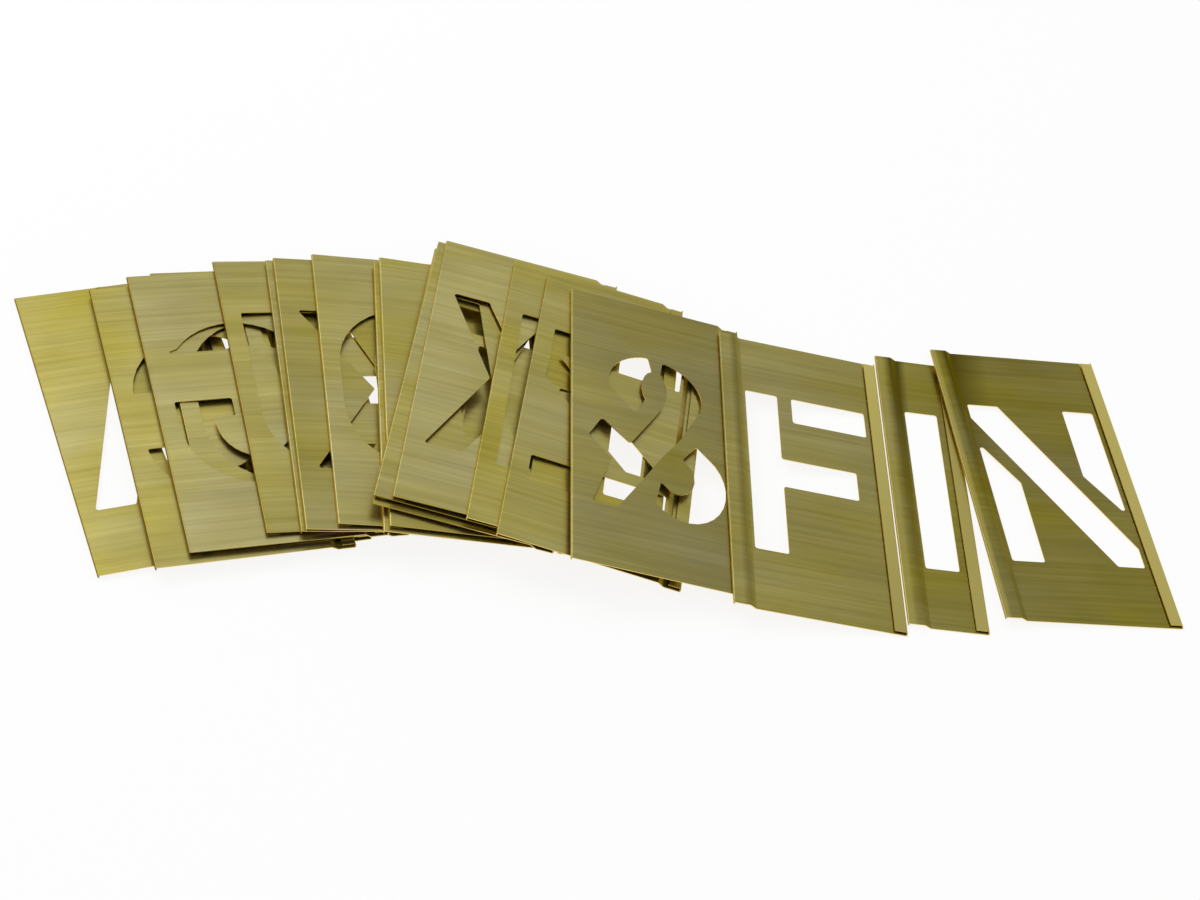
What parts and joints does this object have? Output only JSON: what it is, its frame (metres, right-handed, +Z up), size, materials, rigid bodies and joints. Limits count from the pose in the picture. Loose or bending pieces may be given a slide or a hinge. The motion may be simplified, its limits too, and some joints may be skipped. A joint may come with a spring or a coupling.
{
  "type": "lettering stencil",
  "caption": "Loose sheet brass lettering stencils fanned out in a row, each plate with a raised pocket edge and a folded hem edge that interlock with its neighbours.",
  "frame": {"origin": "on the table plane, under the middle of the row's outline", "axes": "+X along the row towards the loose plates, +Y towards the tops of the characters, +Z up"},
  "size_m": [0.421, 0.2186, 0.0163],
  "materials": {
    "brass": "brushed"
  },
  "bodies": {
    "plate_letter_a": {"plate_letter_a": "brass"},
    "plate_letter_s": {"plate_letter_s": "brass"},
    "plate_letter_c": {"plate_letter_c": "brass"},
    "plate_letter_q": {"plate_letter_q": "brass"},
    "plate_letter_g": {"plate_letter_g": "brass"},
    "plate_letter_u": {"plate_letter_u": "brass"},
    "plate_letter_e": {"plate_letter_e": "brass"},
    "plate_letter_k": {"plate_letter_k": "brass"},
    "plate_letter_o": {"plate_letter_o": "brass"},
    "plate_letter_r": {"plate_letter_r": "brass"},
    "plate_letter_l": {"plate_letter_l": "brass"},
    "plate_letter_t": {"plate_letter_t": "brass"},
    "plate_letter_v": {"plate_letter_v": "brass"},
    "plate_letter_x": {"plate_letter_x": "brass"},
    "plate_letter_h": {"plate_letter_h": "brass"},
    "plate_letter_z": {"plate_letter_z": "brass"},
    "plate_ampersand": {"plate_ampersand": "brass"},
    "plate_letter_f": {"plate_letter_f": "brass"},
    "plate_letter_i": {"plate_letter_i": "brass"},
    "plate_letter_n": {"plate_letter_n": "brass"}
  },
  "joints": [
    {"name": "lift_letter_s", "type": "slide", "parent": "plate_letter_a", "child": "plate_letter_s", "axis": [0, 0, 1], "range_m": [0, 0.015]},
    {"name": "lift_letter_c", "type": "slide", "parent": "plate_letter_s", "child": "plate_letter_c", "axis": [0, 0, 1], "range_m": [0, 0.015]},
    {"name": "lift_letter_q", "type": "slide", "parent": "plate_letter_c", "child": "plate_letter_q", "axis": [0, 0, 1], "range_m": [0, 0.015]},
    {"name": "lift_letter_g", "type": "slide", "parent": "plate_letter_q", "child": "plate_letter_g", "axis": [0, 0, 1], "range_m": [0, 0.015]},
    {"name": "lift_letter_u", "type": "slide", "parent": "plate_letter_g", "child": "plate_letter_u", "axis": [0, 0, 1], "range_m": [0, 0.015]},
    {"name": "lift_letter_e", "type": "slide", "parent": "plate_letter_u", "child": "plate_letter_e", "axis": [0, 0, 1], "range_m": [0, 0.015]},
    {"name": "lift_letter_k", "type": "slide", "parent": "plate_letter_e", "child": "plate_letter_k", "axis": [0, 0, 1], "range_m": [0, 0.015]},
    {"name": "lift_letter_o", "type": "slide", "parent": "plate_letter_k", "child": "plate_letter_o", "axis": [0, 0, 1], "range_m": [0, 0.015]},
    {"name": "lift_letter_r", "type": "slide", "parent": "plate_letter_o", "child": "plate_letter_r", "axis": [0, 0, 1], "range_m": [0, 0.015]},
    {"name": "lift_letter_l", "type": "slide", "parent": "plate_letter_r", "child": "plate_letter_l", "axis": [0, 0, 1], "range_m": [0, 0.015]},
    {"name": "lift_letter_t", "type": "slide", "parent": "plate_letter_l", "child": "plate_letter_t", "axis": [0, 0, 1], "range_m": [0, 0.015]},
    {"name": "lift_letter_v", "type": "slide", "parent": "plate_letter_t", "child": "plate_letter_v", "axis": [0, 0, 1], "range_m": [0, 0.015]},
    {"name": "lift_letter_x", "type": "slide", "parent": "plate_letter_v", "child": "plate_letter_x", "axis": [0, 0, 1], "range_m": [0, 0.015]},
    {"name": "lift_letter_h", "type": "slide", "parent": "plate_letter_x", "child": "plate_letter_h", "axis": [0, 0, 1], "range_m": [0, 0.015]},
    {"name": "lift_letter_z", "type": "slide", "parent": "plate_letter_h", "child": "plate_letter_z", "axis": [0, 0, 1], "range_m": [0, 0.015]},
    {"name": "lift_ampersand", "type": "slide", "parent": "plate_letter_z", "child": "plate_ampersand", "axis": [0, 0, 1], "range_m": [0, 0.015]},
    {"name": "lift_letter_f", "type": "slide", "parent": "plate_ampersand", "child": "plate_letter_f", "axis": [0, 0, 1], "range_m": [0, 0.015]},
    {"name": "lift_letter_i", "type": "slide", "parent": "plate_letter_a", "child": "plate_letter_i", "axis": [0, 0, 1], "range_m": [0, 0.015]},
    {"name": "lift_letter_n", "type": "slide", "parent": "plate_letter_i", "child": "plate_letter_n", "axis": [0, 0, 1], "range_m": [0, 0.015]}
  ]
}
